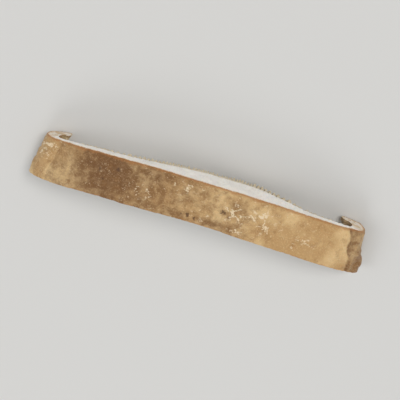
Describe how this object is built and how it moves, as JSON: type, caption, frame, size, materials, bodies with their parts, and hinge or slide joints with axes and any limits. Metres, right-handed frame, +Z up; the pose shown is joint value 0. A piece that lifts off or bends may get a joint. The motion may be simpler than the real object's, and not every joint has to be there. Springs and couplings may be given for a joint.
{
  "type": "sliced shiitake mushroom",
  "caption": "Slice of shiitake cap with tan scaly skin, white cut flesh, radial gills and turned-in edges, resting gills down.",
  "frame": {"origin": "on the resting plane, under the middle of the slice", "axes": "+X along the slice towards its thinner end, -Y out of the outer cut face, +Z up out of the skin"},
  "size_m": [0.0754, 0.012, 0.0113],
  "materials": {
    "mushroom": "matte"
  },
  "bodies": {
    "root": {"mushroom_slice": "mushroom"}
  },
  "joints": []
}
